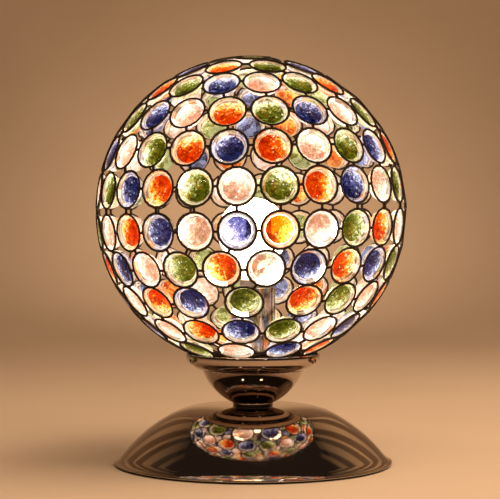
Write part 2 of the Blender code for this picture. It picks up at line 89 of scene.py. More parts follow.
STEM_BORE = 5.3 * MM  # radius of the holes that the stem passes through
TIE_THICKNESS = 0.62  # radius of a tie over the thickness of the wire
LONGEST_TIE = 8.0 * MM  # between neighbours in a row; wider spaces have no tie
LONGEST_TIE_BELOW = 2.6 * MM  # between rows, apart from each ring's nearest below
CUTS = 12  # cut sides of a stone and of its core
STONE_TURN = 0.9  # how far the stones are turned at random, in radians

WARM = (1.0, 0.80, 0.60)
NEUTRAL = (1.0, 0.93, 0.84)
FLOOR_DARK, FLOOR_PALE = (0.66, 0.45, 0.29, 1), (0.72, 0.50, 0.33, 1)
ROOM_COLOUR = (0.030, 0.020, 0.014, 1)
# Lights that no surface mirrors: name, place, aim, width and depth, watts, colour, and spread in
# degrees.
HIDDEN_LIGHTS = (
    ("overhead", (0.1, -0.5, 1.9), (0.1, -0.3, 0), (2.4, 1.4), 17.5, WARM, 180),
    ("back_wash", (0, 0.2, 1.2), (0, 1.9, 0.5), (1.6, 0.3), 1.6, WARM, 90),
    ("floor_wash", (0.5, -0.2, 0.9), (0.15, -0.1, 0), (1.6, 0.9), 6.0, (1.0, 0.82, 0.62), 110),
    ("pool", (0, 0.8, 0.75), (0, 1.5, 0.17), (0.15, 0.15), 0.5, (1.0, 0.84, 0.64), 60),
)
# Lights behind the lamp on both sides, whose reflections streak the dome: bearing from straight
# behind in degrees, distance, width, and watts on the left. The wide one fills between the others.
STREAKS = (
    (50, 1.8, 1.6, 0.07),
    (20, 1.65, 0.10, 0.010),
    (31, 1.65, 0.20, 0.022),
    (44, 1.65, 0.09, 0.012),
    (57, 1.65, 0.24, 0.026),
    (72, 1.65, 0.14, 0.014),
)
STREAK_HEIGHT = 1.7
STREAK_COLOUR = (1.0, 0.58, 0.28)
STREAK_GAINS = ((-1, 1.0), (1, 2.0))  # side, and its share of the watts


# ---------------------------------------------------------------- places from the frame


def node_corners(node):
    return np.array([v.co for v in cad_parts[node].data.vertices])


def ball_from_frame():
    """Centre, ring-plane radius and axis of the ball, from the corners of the frame's stones."""
    farthest, nearly = 200, 0.98
    corners = np.concatenate([node_corners(f"shade_row_{i:02d}") for i in range(len(ROWS))])
    middle = (corners.min(0) + corners.max(0)) / 2
    reach = np.linalg.norm(corners - middle, axis=1)
    outer = corners[reach > nearly * np.median(np.sort(reach)[-farthest:])]
    terms = np.c_[2 * outer, np.ones(len(outer))]
    fitted = np.linalg.lstsq(terms, (outer**2).sum(1), rcond=None)[0]
    centre = Vector(fitted[:3])
    corner_r = math.sqrt(fitted[3] + centre.length_squared)
    ring_plane_r = math.sqrt(corner_r**2 - CAD_STONE_RIM**2) - CAD_STONE_PROUD
    hoop = node_corners("shade_fitter_ring")
    axis = Vector(np.linalg.svd(hoop - hoop.mean(0), full_matrices=False)[2][2])
    return centre, ring_plane_r, axis * math.copysign(1, axis.z)


BALL_CENTRE, BALL_R, BALL_AXIS = ball_from_frame()
LEAN = Vector((0, 0, 1)).rotation_difference(BALL_AXIS).to_matrix().to_4x4()


def row_longitudes(index):
    """Longitudes of a row's stones, round to the right from its first."""
    first, count = ROWS[index][1], len(ROWS[index][2])
    if index != LOOSE_ROW:
        return [first + 360 * i / count for i in range(count)]
    right, left = LOOSE_STEPS
    step = (360 - right - left) / (count - 2)
    return [first] + [first + right + step * i for i in range(count - 1)]


def seat(latitude, longitude):
    """Matrix of a ring's seat: X to the right along its row, Y up the ball, Z outward."""
    up, round_ = math.radians(latitude), math.radians(longitude)
    east = Vector((math.cos(round_), math.sin(round_), 0))
    ahead, beside = -math.cos(up) * math.cos(round_), math.cos(up) * math.sin(round_)
    outward = Vector((beside, ahead, math.sin(up)))
    turn = Matrix((east, outward.cross(east), outward)).transposed().to_4x4()
    return Matrix.Translation(BALL_CENTRE) @ LEAN @ turn @ Matrix.Translation((0, 0, BALL_R))


SEATS = [[seat(ROWS[i][0], longitude) for longitude in row_longitudes(i)] for i in range(len(ROWS))]


def outer_radius(node):
    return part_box(node)[1].x


def span(node):
    """Lowest and highest z of a CAD node."""
    low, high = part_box(node)
    return low.z, high.z


# ---------------------------------------------------------------- settings


def length_setting(name, description, value):
    return FloatProperty(
        name=name, description=description, default=value, unit="LENGTH", precision=5
    )


def colour_setting(name, description, *value):
    return FloatVectorProperty(
        name=name, description=description, default=value, subtype="COLOR", min=0, max=1
    )


class LampSizes(bpy.types.PropertyGroup):
    """Sizes of the pieces that are made here"""

    wire: length_setting("Wire", "Thickness of the ring wire", 1.65 * MM)
    ring: length_setting("Ring", "Outside diameter of a ring", 24.75 * MM)
    lens_rise: length_setting("Lens rise", "How far a stone's face stands out", 1.2 * MM)
    core: length_setting("Core", "Diameter of a stone's coloured core", 17.6 * MM)
    core_depth: length_setting("Core depth", "How far behind the ring the core is", 3.5 * MM)
    seed: IntProperty(name="Seed", description="Start of the random facets", default=11, min=0)


class LampColours(bpy.types.PropertyGroup):
    """Colours of the finishes"""

    blue: colour_setting("Blue", "Blue stones", 0.045, 0.052, 0.21)
    amber: colour_setting("Amber", "Amber stones", 0.82, 0.10, 0.001)
    # The pale amber that the stones' painted glow turns to where it is brightest.
    amber_lit_thin: colour_setting("Thin amber", "Amber stones where they are thin", 1.0, 0.58, 0.015)
    green: colour_setting("Green", "Green stones", 0.21, 0.23, 0.018)
    clear: colour_setting("Clear", "Pale stones", 0.80, 0.52, 0.38)
    chrome: colour_setting("Chrome", "Dark chrome of the base and cup", 0.46, 0.38, 0.32)
    wire: colour_setting("Wire", "Dark plating of the wire", 0.020, 0.010, 0.006)
    light: colour_setting("Light", "Light of the bulb", 1.0, 0.80, 0.52)
    glow: FloatProperty(name="Glow", description="Strength of the bulb", default=9.0, min=0)
    # Strength of the glow painted into the stones as emission, standing in for the bulb's light
    # through them.
    spark: FloatProperty(name="Spark", description="Light in the stones' cores", default=0.7, min=0)


# ---------------------------------------------------------------- mesh helpers


def to_piece(bm, name, body, materials, replaced=(), crease=30, flat=False):
    """Finish a bmesh as a piece that rides on a body."""
    mesh = bpy.data.meshes.new(name)
    bm.to_mesh(mesh)
    bm.free()
    for material in materials:
        mesh.materials.append(material)
    if flat:
        mesh.shade_flat()
    else:
        mesh.shade_smooth()
        mesh.set_sharp_from_angle(angle=math.radians(crease))
    piece = bpy.data.objects.new(name, mesh)
    bpy.context.scene.collection.objects.link(piece)
    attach(piece, body)
    if replaced:
        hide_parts(*replaced)
    return piece


def dress(node, material):
    """Give a CAD node its finish."""
    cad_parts[node].material_slots[0].material = material


def closed(bm):
    """Join what meets, and turn every face outward."""
    bmesh.ops.remove_doubles(bm, verts=bm.verts, dist=0.002 * MM)
    bmesh.ops.recalc_face_normals(bm, faces=bm.faces)
    return bm


def spin_round(bm, geometry, steps):
    bmesh.ops.spin(
        bm, geom=geometry, cent=(0, 0, 0), axis=(0, 0, 1), angle=math.tau, steps=steps,
        use_merge=True,
    )


def turned(profile, steps, loop=True):
    """Turn (radius, height) points about Z. A loop's last point meets its first."""
    bm = bmesh.new()
    verts = [bm.verts.new((r, 0, z)) for r, z in profile]
    edges = [bm.edges.new(pair) for pair in zip(verts, verts[1:])]
    if loop:
        edges.append(bm.edges.new((verts[-1], verts[0])))
    spin_round(bm, verts + edges, steps)
    return closed(bm)


def arc(centre, radius, start, end, count):
    """Points along an arc, from one angle in degrees to another."""
    angles = [math.radians(start + (end - start) * i / (count - 1)) for i in range(count)]
    return [(centre[0] + radius * math.cos(a), centre[1] + radius * math.sin(a)) for a in angles]


def stamp(bm, shape, place):
    """Add a copy of a mesh at a place and return its vertices."""
    start = len(bm.verts)
    bm.from_mesh(shape)
    bm.verts.ensure_lookup_table()
    verts = bm.verts[start:]
    bmesh.ops.transform(bm, matrix=place, verts=verts)
    return verts


def shape_from(bm, name):
    mesh = bpy.data.meshes.new(name)
    bm.to_mesh(mesh)
    bm.free()
    return mesh


def drilled(bm, holes):
    """Drill round holes, each given by its start, end and radius, through a mesh."""
    things = [bpy.data.objects.new("blank", shape_from(bm, "blank"))]
    for start, end, radius in holes:
        tool = bmesh.new()
        rod(tool, rod_shape("drill", 1.0, 24), start, end, radius)
        things.append(bpy.data.objects.new("drill", shape_from(tool, "drill")))
        hole = things[0].modifiers.new("hole", "BOOLEAN")
        hole.operation = "DIFFERENCE"
        hole.object = things[-1]
    for thing in things:
        bpy.context.scene.collection.objects.link(thing)
    bpy.context.view_layer.update()
    done = things[0].evaluated_get(bpy.context.evaluated_depsgraph_get())
    cut = bmesh.new()
    cut.from_mesh(done.to_mesh())
    done.to_mesh_clear()
    for thing in things:
        bpy.data.objects.remove(thing, do_unlink=True)
    return cut


def node_axis(node, longest=True):
    """Middle of a CAD node and the unit axis that it is turned about, pointing out of the lamp."""
    corners = node_corners(node)
    middle = (corners.min(0) + corners.max(0)) / 2
    spread = np.linalg.svd(corners - corners.mean(0), full_matrices=False)[2]
    axis = Vector(spread[0 if longest else 2])
    return Vector(middle), axis * math.copysign(1, axis.x * middle[0] + axis.y * middle[1])


def rod_shape(name, waist, steps=6):
    """A round bar one unit long and one unit in radius, thinner at its middle."""
    profile = [(0, -0.5), (1, -0.5), (waist, 0), (1, 0.5), (0, 0.5)]
    return shape_from(turned(profile, steps, loop=False), name)


def rod(bm, shape, start, end, radius):
    """Stamp a bar between two points."""
    run = end - start
    turn = run.to_track_quat("Z", "Y").to_matrix().to_4x4()
    size = Matrix.Diagonal((radius, radius, run.length, 1.0))
    stamp(bm, shape, Matrix.Translation((start + end) / 2) @ turn @ size)


# ---------------------------------------------------------------- finishes


class Value:
    """A number that varies over a surface. Arithmetic on it adds Math nodes."""

    def __init__(self, finish, socket):
        self.finish = finish
        self.socket = socket

    def __add__(self, other):
        return self.finish.maths("ADD", self, other)

    def __sub__(self, other):
        return self.finish.maths("SUBTRACT", self, other)

    def __mul__(self, other):
        return self.finish.maths("MULTIPLY", self, other)

    def __truediv__(self, other):
        return self.finish.maths("DIVIDE", self, other)

    def __pow__(self, other):
        return self.finish.maths("POWER", self, other)

    def wave(self):
        return self.finish.maths("SINE", self)

    def clamped(self):
        return self.finish.node("ShaderNodeClamp", {}, {0: self})


class Finish:
    """A material with one Principled shader. Constants are set on its sockets."""

    def __init__(self, name, **constants):
        self.material = bpy.data.materials.new(name)
        self.material.use_nodes = True
        self.tree = self.material.node_tree
        self.shader = self.tree.nodes["Principled BSDF"]
        for socket, value in constants.items():
            self.shader.inputs[socket.replace("_", " ")].default_value = value

    def node(self, kind, settings, inputs, output=0):
        """Add a node with its settings and inputs, and return one of its outputs."""
        made = self.tree.nodes.new(kind)
        for key, value in settings.items():
            if key == "stops":
                self.stops(made, value)
            else:
                setattr(made, key, value)
        for key, value in inputs.items():
            self.connect(made.inputs[key], value)
        return Value(self, made.outputs[output])

    def stops(self, ramp, stops):
        elements = ramp.color_ramp.elements
        while len(elements) < len(stops):
            elements.new(0.5)
        for element, (position, colour) in zip(elements, stops):
            element.position = position
            element.color = (*colour, 1.0)

    def connect(self, socket, value):
        if isinstance(value, Value):
            self.tree.links.new(value.socket, socket)
        else:
            socket.default_value = value

    def feed(self, socket, value):
        self.connect(self.shader.inputs[socket], value)

    def place(self):
        return self.node("ShaderNodeTexCoord", {}, {}, "Object")

    def maths(self, operation, first, second=0.0):
        return self.node("ShaderNodeMath", {"operation": operation}, {0: first, 1: second})

    def noise(self, scale, detail=3.0, at=None):
        inputs = {"Vector": at or self.place(), "Scale": scale, "Detail": detail}
        return self.node("ShaderNodeTexNoise", {}, inputs)

    def cells(self, scale):
        """Distance from the middle of each of many small cells."""
        return self.node("ShaderNodeTexVoronoi", {}, {"Vector": self.place(), "Scale": scale})

    def chips(self, scale, channel):
        """A level of its own for each of many small cells."""
        inputs = {"Vector": self.place(), "Scale": scale}
        colours = self.node("ShaderNodeTexVoronoi", {}, inputs, "Color")
        return self.node("ShaderNodeSeparateColor", {}, {0: colours}, channel)

    def part(self, vector, axis):
        return self.node("ShaderNodeSeparateXYZ", {}, {0: vector}, "XYZ".index(axis))

    def tint(self, factor, first, second):
        """Mix two colours. The colour sockets of a Mix node are inputs 6 and 7 and output 2."""
        inputs = {"Factor": factor, 6: first, 7: second}
        return self.node("ShaderNodeMix", {"data_type": "RGBA"}, inputs, 2)

    def ramp(self, value, *stops):
        return self.node("ShaderNodeValToRGB", {"stops": stops}, {"Fac": value})

    def bump(self, height, distance):
        inputs = {"Height": height, "Distance": distance, "Strength": 1.0}
        self.feed("Normal", self.node("ShaderNodeBump", {}, inputs, "Normal"))


def rgba(colour, scale=1.0):
    return (*(min(c * scale, 1.0) for c in colour), 1.0)


def chrome_finish(name, colour, roughness, lines):
    """Plated metal with faint smears and the fine rings that spinning leaves."""
    finish = Finish(name, Metallic=1.0)
    smear = finish.noise(scale=38.0, detail=4.0)
    spots = finish.noise(scale=900.0, detail=2.0)
    height = finish.part(finish.place(), "Z")
    finish.feed("Roughness", smear**2.0 * roughness * 2.2 + spots * 0.02 + roughness * 0.3)
    finish.feed("Base Color", finish.tint(smear, rgba(colour, 0.94), rgba(colour, 1.06)))
    finish.bump((height * lines).wave() * 0.3 + spots, 0.004 * MM)
    return finish.material


def drawn_finish(name, colour):
    """Plated tube with the long draw marks that run down it, and painted streaks of shade and
    reflection along them.
    """
    finish = Finish(name, Metallic=1.0)
    narrow = {0: finish.place(), 1: (420.0, 420.0, 9.0)}
    stretched = finish.node("ShaderNodeVectorMath", {"operation": "MULTIPLY"}, narrow)
    marks = finish.noise(scale=1.0, at=stretched)
    # Painted streaks of shade and reflection: the base colour is made darker where the marks sink
    # and brighter where they stand up.
    dark = (marks * 3.0 - 1.0).clamped()
    finish.feed("Roughness", marks * 0.15 + 0.02)
    finish.feed("Base Color", finish.tint(dark, rgba(colour, 0.35), rgba(colour, 1.3)))
    finish.bump(marks, 0.4 * MM)
    return finish.material


def metal_finish(name, colour, roughness, metallic=1.0, grain=700.0, depth=0.02 * MM, worn=None):
    """Bare or plated metal with a fine grain, and a second colour where it is worn."""
    finish = Finish(name, Metallic=metallic)
    grains = finish.noise(scale=grain, detail=4.0)
    patches = finish.noise(scale=grain / 8)
    finish.feed("Roughness", grains * 0.25 + (roughness - 0.1))
    finish.feed("Base Color", finish.tint(patches, rgba(colour, 0.8), rgba(worn or colour, 1.1)))
    finish.bump(grains, depth)
    return finish.material


def plastic_finish(name, colour, roughness):
    """Moulded plastic with a very fine grain."""
    finish = Finish(name, IOR=1.49)
    grains = finish.noise(scale=1500.0, detail=2.0)
    patches = finish.noise(scale=90.0)
    finish.feed("Roughness", grains * 0.12 + (roughness - 0.05))
    finish.feed("Base Color", finish.tint(patches, rgba(colour, 0.92), rgba(colour, 1.05)))
    finish.bump(grains, 0.01 * MM)
    return finish.material


def foam_finish(name, colour):
    """Closed-cell foam: small shallow cells, with painted shade darkening each one towards its sunk
    middle.
    """
    finish = Finish(name)
    cell = finish.cells(1400.0)
    # Painted shade: the base colour is darkest where each cell sinks.
    finish.feed("Base Color", finish.tint(cell, rgba(colour, 0.7), rgba(colour, 1.6)))
    finish.feed("Roughness", cell * 0.1 + 0.85)
    finish.bump(cell, 0.1 * MM)
    return finish.material


def through(colour, thickness):
    """Colour of light that has passed some thickness of a glass: thin is pale and thick is deep."""
    return tuple(c**thickness for c in colour)


def dimmed(colour, share):
    return tuple(share * c for c in colour)


def glass_finish(name, colour):
    """Clear glass with a breath of a colour and faint waves in its face."""
    finish = Finish(name, Transmission_Weight=1.0, IOR=1.25)
    waves = finish.noise(scale=260.0, detail=2.0)
    finish.feed("Base Color", finish.tint(waves, rgba(through(colour, 0.03)), (1.0, 1.0, 1.0, 1.0)))
    finish.feed("Roughness", waves * 0.02)
    return finish.material


def across_stone(finish):
    """How far a point is across its stone, along it, and out from its middle."""
    uv = finish.node("ShaderNodeUVMap", {"uv_map": "stone"}, {})
    across, along = finish.part(uv, "X"), finish.part(uv, "Y")
    return across, along, (across * across + along * along) ** 0.5


def side_finish(name, colour, let_out, spark):
    """A stone's cut sides, with the bulb's light round the core painted into them as a glow in pale
    and brown bands, brightest at the rim.
    """
    finish = Finish(name, Transmission_Weight=0.85, IOR=1.25, Emission_Strength=spark)
    out = across_stone(finish)[2]
    wobble = finish.noise(scale=150.0, detail=2.0)
    bands = (out * 52.0 + wobble * 11.0).wave() * 0.5 + 0.5
    facets = finish.chips(330.0, "Green")
    broad = finish.noise(scale=60.0, detail=1.0)
    # Painted light: the bands, the facets and broad patches set how brightly the cut sides glow.
    light = (bands * 0.5 + facets * 0.35 + broad * 1.2 - 0.62).clamped()
    glow = finish.ramp(
        light,
        (0.0, (0.10, 0.05, 0.02)),
        (0.25, (0.45, 0.27, 0.15)),
        (0.5, (0.95, 0.70, 0.46)),
        (0.8, (1.0, 0.94, 0.80)),
    )
    # Painted light: the pale glow is strongest at the stone's rim, and inside it the sides glow in
    # the deep colour.
    rim = ((out - 0.72) * 8.0).clamped()
    deep = rgba(dimmed(through(colour, 1.2), 0.5 * let_out))
    behind = finish.tint((facets * 1.6 - 0.3).clamped(), deep, rgba(through(colour, 0.3), 0.8))
    finish.feed("Emission Color", finish.tint(rim, behind, glow))
    finish.feed("Base Color", finish.tint(rim, rgba(through(colour, 0.3)), (1.0, 0.95, 0.88, 1.0)))
    finish.feed("Roughness", facets * 0.15 + 0.05)
    return finish.material


def core_finish(name, colour, thin, let_out, spark):
    """A stone's coloured core: tinted chips in a mosaic with a faint star, glowing by painted
    emission in place of the bulb's light through it, with a painted paler lit side and painted
    glints.
    """
    finish = Finish(name, Transmission_Weight=0.85, IOR=1.25, Emission_Strength=spark)
    across, along, out = across_stone(finish)
    angle = finish.maths("ARCTAN2", along, across)
    star = ((angle * 12.0 + out * 1.5).wave() * 0.5 + 0.5) ** 2.0
    chips = finish.chips(520.0, "Red")
    fine = finish.chips(1050.0, "Green")
    broad = finish.noise(scale=75.0, detail=1.0)
    # Painted glints: the brightest of the fine chips flash white.
    glint = ((fine - 0.95) * 30.0).clamped()
    # Painted light: the chips, a painted lit side along 'across', the star and broad patches set
    # how brightly each point glows.
    light = chips * 0.56 + fine * 0.46 + across * 0.80 + star * 0.1 + broad - 0.86
    light = (light + glint * 0.55).clamped()
    # The painted glow runs from the deep colour where this painted light is weak to the thin-glass
    # colour and white where it is strong.
    glow = finish.ramp(
        light,
        (0.0, dimmed(through(colour, 1.7), 0.4 * let_out)),
        (0.25, dimmed(through(colour, 1.25), let_out)),
        (0.50, dimmed(through(colour, 0.9), let_out**0.7)),
        (0.68, dimmed(thin, let_out**0.35)),
        (0.86, through(thin, 0.35)),
        (1.0, through(colour, 0.03)),
    )
    finish.feed("Emission Color", glow)
    # The base colour is paler where the painted light is strong as well.
    finish.feed("Base Color", finish.tint(light, rgba(colour), rgba(through(colour, 0.2))))
    finish.feed("Roughness", fine * 0.1 + 0.03)
    return finish.material


def bulb_finish(name, colour, glow):
    """Frosted glass, lit from inside, dimmer towards its neck."""
    finish = Finish(name, Emission_Strength=glow, Roughness=0.5)
    low, high = span("bulb_glass")
    share = ((finish.part(finish.place(), "Z") - low) / (high - low)).clamped()
    neck = dimmed(colour, 0.25)
    finish.feed("Emission Color", finish.ramp(share, (0.0, neck), (0.35, colour), (1.0, colour)))
    frost = finish.noise(scale=500.0)
    finish.feed("Base Color", finish.tint(frost, (0.9, 0.87, 0.8, 1), (1.0, 0.98, 0.92, 1)))
    return finish.material


# ---------------------------------------------------------------- base


def dome_height(radius, top):
    """The dome's outside: an arc that eases into a flat top."""
    arc_r, arc_x, arc_z, shoulder = 108.5 * MM, 1.75 * MM, -63.8 * MM, 6.0 * MM
    slope = arc_z + math.sqrt(arc_r**2 - (radius - arc_x) ** 2)
    share = min(max(0.5 + 0.5 * (top - slope) / shoulder, 0.0), 1.0)
    return top + (slope - top) * share - shoulder * share * (1 - share)


def make_dome(material):
    """The domed shell with its rolled rim, bored for the stem and drilled for the bushing."""
    radius = outer_radius("base_dome")
    bottom, top = span("base_dome")
    wall, lip, bead, bushing_r = 1.2 * MM, 6.0 * MM, 0.6 * MM, 4.0 * MM
    steps, last = 34, radius - 3.0 * MM
    outside, inside = [], []
    for i in range(steps + 1):
        r = STEM_BORE + (last - STEM_BORE) * i / steps
        z = dome_height(r, top)
        outside.append((r, z))
        rise = (dome_height(r + 0.5 * MM, top) - dome_height(r - 0.5 * MM, top)) / MM
        normal = Vector((-rise, 1.0)).normalized()
        inside.append((max(r - wall * normal.x, STEM_BORE), z - wall * normal.y))
    rim = arc((radius - bead, bottom + bead), bead, 80, -90, 9)
    foot = [(radius - lip, bottom), (radius - lip, bottom + wall)]
    bm = turned(outside + rim + foot + inside[::-1], 180)
    middle, axis = node_axis("cord_bushing", longest=False)
    bm = drilled(bm, [(middle - 8 * MM * axis, middle + 8 * MM * axis, bushing_r)])
    return to_piece(bm, "dome_shell", "base", [material], ["base_dome"], crease=40)


class LAMP_OT_base(bpy.types.Operator):
    """Make the domed base and finish what is under it"""

    bl_idname = "lamp.base"
    bl_label = "Base"

    def execute(self, context):
        colours = context.scene.lamp_colours
        make_dome(chrome_finish("dark_chrome", colours.chrome, roughness=0.055, lines=9000.0))
        iron = metal_finish(
            "cast_iron", (0.07, 0.07, 0.07), roughness=0.75, metallic=0.6, grain=500.0,
            depth=0.2 * MM,
        )
        dress("base_weight", iron)
        dress("foot_pad", foam_finish("foot_foam", (0.03, 0.03, 0.03)))
        dress("cord_bushing", plastic_finish("bushing_plastic", (0.02, 0.02, 0.02), roughness=0.4))
        zinc = metal_finish("zinc_plate", (0.60, 0.60, 0.58), roughness=0.35)
        for node in ("stem_tube", "base_washer", "base_nut", "cup_washer", "cup_nut", "sleeve_nut"):
            dress(node, zinc)
        return {"FINISHED"}


# ---------------------------------------------------------------- cup


def cup_outside(bottom, rim_z, rim_r, neck_r, count):
    """The cup's outside from its rim down to its neck: it narrows slowly, then quickly."""
    neck_top = bottom + 1.5 * MM
    points = []
    for i in range(count):
        share = (1 - i / (count - 1)) ** 2.0
        flare = share ** (0.47 + 0.27 * (1 - share) ** 2)
        points.append((neck_r + (rim_r - neck_r) * flare, neck_top + (rim_z - neck_top) * share))
    return points


def make_cup(material):
    """The cup's thin shell, open at the top and bored for the stem."""
    bottom, rim_z = span("cup_bowl")
    wall, neck_r = 1.2 * MM, 13.0 * MM
    outside = cup_outside(bottom, rim_z, outer_radius("cup_bowl"), neck_r, 30)
    inside = [(r - 1.1 * wall, max(z, bottom + wall)) for r, z in outside]
    floor = [(neck_r, bottom), (STEM_BORE, bottom), (STEM_BORE, bottom + wall)]
    bm = turned(outside + floor + inside[::-1], 128)
    return to_piece(bm, "cup_shell", "base", [material], ["cup_bowl"], crease=50)


def gallery_profile(floor, top, radius):
    """Section of the gallery: a rolled lip, an upright side, a rounded foot and a flat floor."""
    wall, foot_r, bore, side = 1.2 * MM, radius - 9.9 * MM, 29.0 * MM, top - 3.9 * MM
    foot, steps, fullness = [], 14, 1.5
    for i in range(steps, -1, -1):
        share = (i / steps) ** 0.8
        drop = (1 - share**fullness) ** (1 / fullness)
        foot.append((foot_r + (radius - foot_r) * share, side - (side - floor) * drop))
    inner = [(r - wall * 0.75, z + wall * 0.8) for r, z in foot[3:-2]]
    lip = arc((radius - wall / 2, top - wall / 2), wall / 2, 180, 0, 9)
    outer = lip + foot + [(bore, floor), (bore, floor + wall), (foot_r, floor + wall)]
    return outer + inner[::-1] + [(radius - wall, side)]


def make_gallery(material):
    """The gallery, with a hole in its side for each set screw."""
    floor, top = span("gallery_ring")
    radius, hole_r = outer_radius("gallery_ring"), 1.5 * MM
    holes = []
    for side in ("left", "right", "rear"):
        middle, axis = node_axis("set_screw_" + side)
        wall = Vector((axis.x, axis.y, 0)) * radius + Vector((0, 0, middle.z))
        holes.append((wall - 3 * MM * axis, wall + 3 * MM * axis, hole_r))
    bm = drilled(turned(gallery_profile(floor, top, radius), 160), holes)
    return to_piece(
        bm, "gallery_shell", "base", [material], ["gallery_ring"], crease=32
    )


def make_screw(side, material):
    """A set screw with a knurled head and a round socket in its face."""
    node = "set_screw_" + side
    middle, axis = node_axis(node)
    reach = [Vector(corner).dot(axis) for corner in node_corners(node)]
    tip, end = min(reach), max(reach)
    head_r, shank_r, head, knurls, knurled_in = 1.88 * MM, 1.15 * MM, 1.8 * MM, 36, 0.94
    chamfer, pitch, thread_depth = 0.4 * MM, 0.5 * MM, 0.12 * MM
    bm = bmesh.new()
    made = bmesh.ops.create_cone(
        bm, cap_ends=True, segments=knurls, radius1=head_r, radius2=head_r, depth=head,
        matrix=Matrix.Translation((0, 0, end - head / 2)),
    )
    for vert in made["verts"]:
        if round(math.atan2(vert.co.y, vert.co.x) * knurls / math.tau) % 2:
            vert.co.xy *= knurled_in
    face = max(bm.faces, key=lambda f: f.calc_center_median().z)
    for inset, sink in ((0.25, 0.2), (0.6, 0.0), (0.03, -1.0)):
        bmesh.ops.inset_region(bm, faces=[face], thickness=inset * MM, depth=sink * MM)
    shank = [(0, tip), (shank_r - chamfer, tip), (shank_r, tip + chamfer)]
    for i in range(int((end - head - tip - 0.6 * MM) / pitch)):
        crest = tip + pitch * (i + 1)
        shank += [(shank_r, crest), (shank_r - thread_depth, crest + pitch / 2)]
    shank += [(shank_r, end - head), (0, end - head)]
    thread = shape_from(turned(shank, 24, loop=False), "thread")
    stamp(bm, thread, Matrix.Identity(4))
    turn = axis.to_track_quat("Z", "Y").to_matrix().to_4x4()
    place = Matrix.Translation((0, 0, middle.z)) @ turn
    bmesh.ops.transform(bm, matrix=place, verts=bm.verts)
    bmesh.ops.recalc_face_normals(bm, faces=bm.faces)
    return to_piece(
        bm, node + "_knurled", "screw_" + side, [material], [node], crease=25
    )


class LAMP_OT_cup(bpy.types.Operator):
    """Make the cup, the gallery and its set screws"""

    bl_idname = "lamp.cup"
    bl_label = "Cup and gallery"

    def execute(self, context):
        chrome = bpy.data.materials["dark_chrome"]
        make_cup(chrome)
        make_gallery(chrome)
        for side in ("left", "right", "rear"):
            make_screw(side, chrome)
        return {"FINISHED"}


# ---------------------------------------------------------------- lampholder and bulb


def make_sleeve(material):
    """The lampholder's sleeve: a tube with a rounded foot and a rolled lip."""
    bottom, top = span("holder_sleeve")
    radius, wall = outer_radius("holder_sleeve"), 0.6 * MM
    lip = arc((radius - wall / 2, top - wall / 2), wall / 2, 0, 180, 7)
    bend = arc((radius - MM, bottom + MM), MM, -90, 0, 6)
    floor = [(STEM_BORE, bottom + MM), (STEM_BORE, bottom)]
    bm = turned(floor + bend + lip + [(radius - wall, bottom + MM)], 96)
    return to_piece(
        bm, "sleeve_tube", "base", [material], ["holder_sleeve"], crease=40
    )


def make_bulb_glass(material):
    """The bulb's hollow globe, whose shoulder narrows to the neck."""
    radius = outer_radius("bulb_glass")
    low, high = span("bulb_glass")
    centre_z, wall, neck = high - radius, 0.8 * MM, 7.2 * MM
    outside = arc((0, centre_z), radius, 90, -50, 30)
    outside[0] = (0, high)
    inside = arc((0, centre_z), radius - wall, -50, 90, 30)
    inside[-1] = (0, high - wall)
    steps = ((11.9, 13.7), (9.7, 11.1), (8.3, 8.3), (7.5, 5.1))
    shoulder = [(r * MM, low + rise * MM) for r, rise in steps]
    outside += shoulder + [(neck, low)]
    inside = [(neck - wall, low)] + [(r - wall, z + 0.2 * MM) for r, z in shoulder[::-1]] + inside
    bm = turned(outside + inside, 64, loop=False)
    return to_piece(
        bm, "bulb_globe", "bulb", [material], ["bulb_glass"], crease=60
    )


def make_bulb_cap(material):
    """The bulb's cap with its rounded screw thread, and the skirt that holds the glass."""
    low, high = span("bulb_cap")
    skirt_r, wall, pitch, crest = outer_radius("bulb_cap"), 0.4 * MM, 2.8 * MM, 0.45 * MM
    hole_r, root, thread_start = 2.2 * MM, 6.9 * MM - crest, 1.6 * MM
    outside = [(hole_r, low), (root - 1.4 * MM, low), (root - 0.3 * MM, low + MM)]
    turns, points = 5, 8
    for i in range(turns * points + 1):
        swell = (1 - math.cos(math.tau * i / points)) / 2
        outside.append((root + crest * swell, low + thread_start + pitch * i / points))
    neck = outside[-1][1]
    outside += [(skirt_r, neck + 2.0 * MM), (skirt_r, high)]
    inside = [(max(r - wall, hole_r), max(z, low + wall)) for r, z in outside[1:]]
    bm = turned(outside + inside[::-1], 48)
    return to_piece(
        bm, "bulb_screw_cap", "bulb", [material], ["bulb_cap"], crease=40
    )


class LAMP_OT_holder(bpy.types.Operator):
    """Make the lampholder's sleeve and finish the holder in it"""

    bl_idname = "lamp.holder"
    bl_label = "Lampholder"

    def execute(self, context):
        make_sleeve(drawn_finish("bright_chrome", (0.62, 0.56, 0.50)))
        white = plastic_finish("holder_plastic", (0.78, 0.75, 0.68), roughness=0.35)
        brass = metal_finish("brass", (0.78, 0.58, 0.26), roughness=0.3, worn=(0.62, 0.42, 0.18))
        for node in ("holder_cap", "holder_body"):
            dress(node, white)
        for node in ("socket_shell", "centre_contact"):
            dress(node, brass)
        for side in ("left", "right"):
            dress("terminal_screw_" + side, brass)
        return {"FINISHED"}


